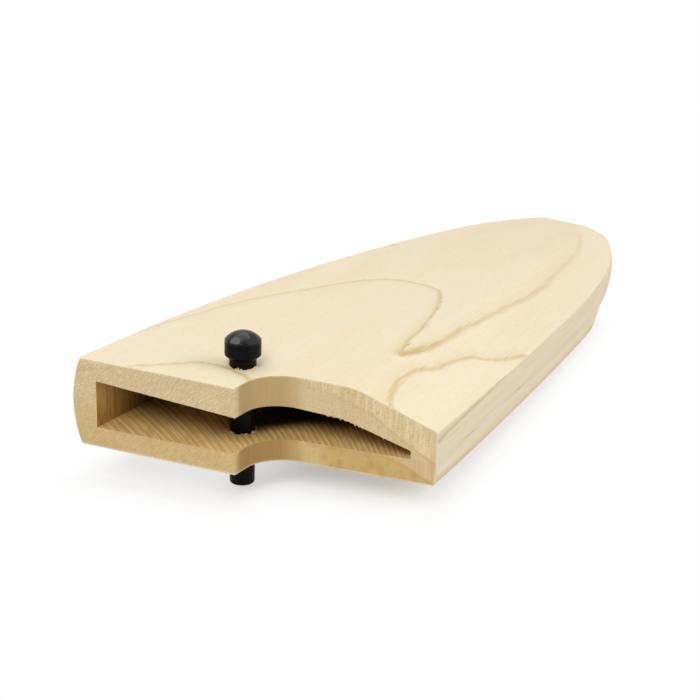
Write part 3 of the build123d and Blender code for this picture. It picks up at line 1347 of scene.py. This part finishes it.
@dataclass
class SawRidges:
    """The thin ridges that stand between the cutter's arcs on the slot's floor.

    Lengths are in millimetres. The arcs' middles run from first to last, each off its place by up
    to a share of the pitch, and what lies past the farthest reach is lost in painted shade.
    """

    boards: Boards
    width: float = 0.42
    flatness: float = 0.36
    waver: float = 0.5
    step: float = 0.8
    first: float = -20.0
    last: float = 120.0
    farthest: float = 60.0
    wander: float = 0.3
    clear_of_pin: float = 2.95
    lift: float = 0.2
    highest: float = 20.0
    ceiling_slack: float = 0.3
    seed: int = 21

    def tree(self) -> Grower:
        """Make the tree that raises a flat, uneven ridge along each line.

        Returns:
            The tree.
        """
        g = Grower("saw_ridges", ("Width", "Flatness", "Level", "Waver"))
        curve = g.node("GeometryNodeMeshToCurve", {}, [g.given("Lines")])
        place = g.node("GeometryNodeInputPosition", {}, [])

        def noise(scale: float, output: int) -> Shade:
            """Add noise about 0.5 at the points' places."""
            values = {"Vector": place, "W": g.given("Seed"), "Scale": scale, "Detail": 2.0}
            return g.node("ShaderNodeTexNoise", {"noise_dimensions": "4D"}, values, output)

        thick = g.given("Width") * (noise(210.0, 0).fade(0.38, 0.66) * 0.85 + 0.05)
        astray = g.vector("MULTIPLY", g.vector("SUBTRACT", noise(330.0, 1), (0.5, 0.5, 0.5)),
                          g.joined(g.given("Waver"), g.given("Waver"), 0.0))
        curve = g.node("GeometryNodeSetPosition", {}, {"Geometry": curve, "Offset": astray})
        profile = g.node("GeometryNodeCurvePrimitiveCircle", {}, {"Resolution": 5, "Radius": 0.5})
        ridge = g.node("GeometryNodeCurveToMesh", {}, {"Curve": curve, "Profile Curve": profile,
                                                       "Scale": thick, "Fill Caps": True})
        parts = [g.node("ShaderNodeSeparateXYZ", {}, [place], name) for name in "XYZ"]
        level = g.given("Level")
        flat = g.joined(parts[0], parts[1], level + (parts[2] - level) * g.given("Flatness"))
        g.finish(g.node("GeometryNodeSetPosition", {}, {"Geometry": ridge, "Position": flat}))
        return g

    def runs(self) -> list[list[Vector]]:
        """Lay out the arcs and keep what lies on the open floor.

        Returns:
            The points of each run, in metres.
        """
        boards, arcs = self.boards, self.boards.arcs
        upper, lower = solid_tree("upper_half"), solid_tree("lower_half")
        lift, highest = self.lift * MM, self.highest * MM

        def open_floor(point: Vector) -> bool:
            """Say whether a point is under the slot's ceiling and over the lower board.

            Args:
                point: The point.

            Returns:
                Whether it is, and clear of the pin.
            """
            lifted = point + UP * lift
            above = upper.ray_cast(lifted, UP, highest)
            below = lower.ray_cast(lifted, -UP, 2 * lift)
            if above[0] is None or below[0] is None:
                return False
            ceiling = float(np.interp(boards.bench(point)[1], *zip(*boards.section)))
            near_pin = (point.xy - boards.pin.xy).length < self.clear_of_pin * MM
            return abs((above[3] + lift) / MM - ceiling) < self.ceiling_slack and not near_pin

        rng = np.random.default_rng(self.seed)
        insets = np.arange(boards.spine_wall, boards.edge_wall_inset, self.step)
        leads = arcs.lead(insets, np.sqrt)
        kept = []
        for middle in np.arange(self.first, self.last, arcs.pitch):
            middle += rng.uniform(-self.wander, self.wander) * arcs.pitch
            run: list[Vector] = []
            for inset, reach in zip(insets, middle + leads):
                point = Vector((boards.mouth + reach * MM, boards.spine - inset * MM, boards.glue))
                if 0 < reach < self.farthest and open_floor(point):
                    run.append(point)
                else:
                    kept.append(run)
                    run = []
            kept.append(run)
        return [run for run in kept if len(run) > 2]

    def build(self) -> list[bpy.types.Object]:
        """Raise the ridges.

        Returns:
            The pieces.
        """
        lines = line_mesh("saw_ridge_lines", self.runs(), lambda point: UP)
        inputs = {"Width": self.width * MM, "Flatness": self.flatness, "Level": self.boards.glue,
                  "Waver": self.waver * MM, "Seed": self.seed,
                  "Finish": WoodFinish(**self.boards.places()).ridge_wood()}
        return [dress(self.tree().grow("saw_ridges", lines, inputs), Body.SHEATH, Slot.WOOD)]


@dataclass
class Pin:
    """The turned pin, its head cut to small flats by hand: each one's turn, tilt and depth."""

    sides: int = 96
    flats: tuple[Triple, ...] = (
        (180.0, 46.0, 0.12), (236.0, 50.0, 0.12), (290.0, 53.0, 0.03), (338.0, 50.0, 0.06),
        (32.0, 48.0, 0.05), (84.0, 50.0, 0.07), (130.0, 54.0, 0.03))
    crease: float = math.radians(28)
    dome_height: float = 1.9 * MM
    pole: float = 0.02 * MM

    def profile(self) -> tuple[Vector, list[Pair]]:
        """Read the pin's outline from its solid.

        Returns:
            The axis, and the outline's radii and heights from the tail up.
        """
        axis, tail, top = pin_axis()
        found = {(round(vert.co.z / MM, 2), round((vert.co.xy - axis.xy).length / MM, 2))
                 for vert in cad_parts["retaining_pin"].data.vertices}
        found |= {(round(tail / MM, 2), 0.0), (round(top / MM, 2), 0.0)}
        return axis, [(radius * MM, height * MM) for height, radius in sorted(found)]

    def lathe(self, axis: Vector, outline: Sequence[Pair]) -> bmesh.types.BMesh:
        """Turn an outline.

        Args:
            axis: The axis.
            outline: Radii and heights, from the tail up.

        Returns:
            The closed shape.
        """
        work = bmesh.new()
        rings = []
        for radius, height in outline:
            count = self.sides if radius > self.pole else 1
            turns = [2 * math.pi * index / count for index in range(count)]
            places = [Vector((radius * math.cos(t), radius * math.sin(t), height)) for t in turns]
            rings.append([work.verts.new(axis + place) for place in places])
        for lower, upper in zip(rings, rings[1:]):
            for index in range(self.sides):
                following = (index + 1) % self.sides
                corners = [lower[index % len(lower)], lower[following % len(lower)],
                           upper[following % len(upper)], upper[index % len(upper)]]
                distinct = list(dict.fromkeys(corners))
                if len(distinct) > 2:
                    work.faces.new(distinct)
        bmesh.ops.recalc_face_normals(work, faces=work.faces)
        return work

    def build(self) -> list[bpy.types.Object]:
        """Turn the pin and cut its flats.

        Returns:
            The pin.
        """
        axis, outline = self.profile()
        work = self.lathe(axis, outline)
        for degrees, lean, depth in self.flats:
            turn, tilt = math.radians(degrees), math.radians(lean)
            normal = Vector((math.cos(turn) * math.sin(tilt), math.sin(turn) * math.sin(tilt),
                             math.cos(tilt)))
            farthest = max((vert.co - axis).dot(normal) for vert in work.verts)
            plane = axis + normal * (farthest - depth * MM)
            cut = bmesh.ops.bisect_plane(work, geom=[*work.verts, *work.edges, *work.faces],
                                         plane_co=plane, plane_no=normal,
                                         clear_outer=True)["geom_cut"]
            rim = [item for item in cut if isinstance(item, bmesh.types.BMEdge)]
            bmesh.ops.edgeloop_fill(work, edges=rim)
            for edge in rim:
                edge.smooth = False
        bmesh.ops.recalc_face_normals(work, faces=work.faces)
        for edge in work.edges:
            edge.smooth = edge.smooth and edge.calc_face_angle(0.0) < self.crease
        for face in work.faces:
            face.smooth = True
        mesh = bpy.data.meshes.new("pin")
        work.to_mesh(mesh)
        work.free()
        finish = PinFinish(polish_from=outline[-1][1] - self.dome_height)
        piece = mesh_object("pin", mesh, finish.material())
        return [dress(piece, Body.PIN, Slot.BLACK, "retaining_pin")]


@dataclass(frozen=True)
class Lamp:
    """A soft square lamp that looks at the sheath: its place and side in metres, and its watts."""

    name: str
    place: Triple
    size: float
    watts: float

    def hang(self) -> None:
        """Hang the lamp."""
        data = bpy.data.lights.new(self.name, "AREA")
        data.shape, data.size, data.energy = "SQUARE", self.size, self.watts
        lamp = bpy.data.objects.new(self.name, data)
        lamp.location = self.place
        lamp.rotation_euler = (-Vector(self.place)).to_track_quat("-Z", "Y").to_euler()
        bpy.context.scene.collection.objects.link(lamp)


@dataclass
class Studio:
    """The floor that the sheath stands on, the lamps and the camera.

    The camera's place and turns, in metres and degrees, are fitted to the photograph. The floor is
    a wide sheet with a fine patch under the sheath, which keeps how far each place lies from it.
    """

    eye: Triple = (-0.30323, -0.11429, 0.10534)
    heading: float = 23.38
    dip: float = 17.117
    roll: float = 1.695
    lens: float = 72.0
    sensor: float = 36.0
    nearest: float = 0.01
    floor_half: float = 6.0
    patch_half: Pair = (0.13, 0.075)
    patch_step: float = 0.0025
    tip_length: float = 12 * MM
    tip_height: float = 1.2 * MM
    rim_slope: float = 0.4
    rim_below: float = 1 * MM
    least_area: float = 1e-9
    past_bore: float = 4 * MM
    under_pin: float = 5 * MM
    from_below: float = 50 * MM
    floor_white: float = 0.86
    floor_shade: float = 0.62
    floor_roughness: float = 0.9
    # painted light: how far from the outline the shadow is painted out, and where it is lifted
    shade_reach: Pair = (-13.0, 8.0)
    lighter_from: Pair = (-8 * MM, 12 * MM)
    lighter: float = 0.55
    surround: float = 0.22
    mirrored_surround: float = 0.7
    lamps: tuple[Lamp, ...] = (
        Lamp("overhead", (0.1, 0.12, 0.75), 0.7, 2.02),
        Lamp("side", (0.1, -0.7, 0.5), 0.5, 2.45),
        Lamp("front", (-0.6, -0.08, 0.52), 0.35, 2.55),
        Lamp("window", (-0.304, 0.329, 0.671), 0.2, 0.42),
    )

    def camera(self) -> None:
        """Place the camera where the photograph was taken from."""
        heading, dip, roll = (math.radians(angle) for angle in (self.heading, self.dip, self.roll))
        ahead = Vector((math.cos(dip) * math.cos(heading), math.cos(dip) * math.sin(heading),
                        -math.sin(dip)))
        right = Vector((math.sin(heading), -math.cos(heading), 0))
        up = right.cross(ahead)
        across = math.cos(roll) * right + math.sin(roll) * up
        upward = -math.sin(roll) * right + math.cos(roll) * up
        data = bpy.data.cameras.new("camera")
        data.lens = self.lens
        data.sensor_width = self.sensor
        data.clip_start = self.nearest
        camera = bpy.data.objects.new("camera", data)
        turn = Matrix((across, upward, -ahead)).transposed().to_4x4()
        camera.matrix_world = Matrix.Translation(self.eye) @ turn
        bpy.context.scene.collection.objects.link(camera)
        bpy.context.scene.camera = camera

    def floor(self) -> None:
        """Lay the floor under the pin's tail and the tip, on which the sheath stands."""
        centre, normal = self.stand()
        east = (Vector((1, 0, 0)) - normal * normal.x).normalized()
        north = normal.cross(east)
        across, away = ([-self.floor_half, *np.arange(-half, half + self.patch_step / 2,
                                                      self.patch_step), self.floor_half]
                        for half in self.patch_half)
        corners = [centre + east * float(a) + north * float(b) for b in away for a in across]
        row = len(across)
        faces = [(i + j * row, i + 1 + j * row, i + 1 + (j + 1) * row, i + (j + 1) * row)
                 for j in range(len(away) - 1) for i in range(row - 1)]
        mesh = bpy.data.meshes.new("floor")
        mesh.from_pydata(corners, [], faces)
        attribute = mesh.attributes.new("clear", "FLOAT", "POINT")
        attribute.data.foreach_set("value", self.clearances(corners))
        mesh_object("floor", mesh, self.floor_paint())

    def stand(self) -> tuple[Vector, Vector]:
        """Find the plane that the sheath stands on, through the pin's tail and the tip's edge.

        Returns:
            The place under the tail, and the plane's normal.
        """
        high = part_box("lower_half")[1]
        axis, bottom, _ = pin_axis()
        tail = Vector((axis.x, axis.y, bottom))
        points = np.array([v.co for name in ("lower_half", "retaining_pin")
                           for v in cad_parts[name].data.vertices])
        tip = points[points[:, 0] > high.x - self.tip_length]
        tip = tip[tip[:, 2] < tip[:, 2].min() + self.tip_height]
        first = Vector(tip[tip[:, 0].argmax()])
        second = Vector(tip[tip[:, 1].argmin()])
        normal = (second - tail).cross(first - tail).normalized()
        if normal.z < 0:
            normal = -normal
        heights = (points - np.array(tail)) @ np.array(normal)
        return tail + normal * float(heights.min()), normal

    def clearances(self, corners: Sequence[Vector]) -> list[float]:
        """Measure how far places on the floor lie from the sheath's outline seen from above.

        Args:
            corners: The places.

        Returns:
            The distances in millimetres, less than 0 under the sheath.
        """
        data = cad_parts["lower_half"].data
        solid = solid_tree("lower_half")
        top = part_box("lower_half")[1].z
        pin = pin_axis()[0].to_2d()
        around = [face for face in data.polygons
                  if abs(face.normal.z) < self.rim_slope and face.area > self.least_area]
        samples = []
        for rim in {edge for face in around for edge in face.edge_keys}:
            start, end = (data.vertices[index].co for index in rim)
            low = min(start.z, end.z) < top - self.rim_below
            if low and min((co.xy - pin).length for co in (start, end)) > self.past_bore:
                samples.extend(Vector((*place.xy, 0)) for place in along(start, end, MM))
        tree = point_tree(samples)
        values = []
        for corner in corners:
            under = (solid.ray_cast(corner - UP * self.from_below, UP)[0]
                     or (corner.xy - pin).length < self.under_pin)
            gap = tree.find((corner.x, corner.y, 0))[2] / MM
            values.append(-gap if under else gap)
        return values

    def floor_paint(self) -> bpy.types.Material:
        """Paint the floor white, with a light shadow where the camera or a reflection sees it.

        Returns:
            The material.
        """
        s = Shader("white_floor")
        seen = (s.ray("Camera") + s.ray("Glossy")).below(1.0)
        s.surface(Base_Color=s.mix(seen, (self.floor_white,) * 3, (self.floor_shade,) * 3),
                  Roughness=self.floor_roughness, Specular_IOR_Level=0.0)
        plain = Shade(s, s.shader.outputs[0])
        white, rest = (s.node("ShaderNodeEmission", {}, {"Color": WHITE, "Strength": glow})
                       for glow in (1.0, 1.0 - self.floor_shade))
        added = s.node("ShaderNodeAddShader", {}, [plain, rest])
        lit = s.node("ShaderNodeMixShader", {}, [seen, plain, added])
        # painted light: the shadow lifted toward the spine side
        painted_light_on_spine_side = s.axis("Y").fade(*self.lighter_from) * self.lighter
        # painted light: the shadow painted out to white past a reach from the sheath's outline
        far = s.attribute("clear").fade(*self.shade_reach).above(painted_light_on_spine_side) * seen
        mixed = s.node("ShaderNodeMixShader", {}, [far, lit, white])
        s.links.new(mixed.socket, s.output.inputs["Surface"])
        return s.material

    def light(self) -> None:
        """Light the sheath softly from above and from the mouth's side, with a white surround."""
        world = bpy.data.worlds.new("surround")
        bpy.context.scene.world = world
        world.use_nodes = True
        tree = Tree(world.node_tree)
        mirrored = tree.ray("Glossy") * self.mirrored_surround
        background = tree.nodes["Background"]
        tree.fill(background.inputs["Color"], WHITE)
        tree.fill(background.inputs["Strength"],
                  tree.ray("Camera").above(mirrored).above(self.surround))
        for lamp in self.lamps:
            lamp.hang()

    def build(self) -> None:
        """Set up the camera, the floor and the light."""
        self.camera()
        self.floor()
        self.light()
        bpy.context.scene.view_settings.view_transform = "Standard"


def main() -> None:
    """Build every piece in order and note the sizes."""
    logging.basicConfig(level=logging.INFO, format="%(message)s")
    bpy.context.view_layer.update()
    Studio().build()
    boards = Boards()
    for part in (boards, Tears(boards), SawRidges(boards), Pin()):
        for piece in part.build():
            log.info("made %s", piece.name)


if __name__ == "__main__":
    main()
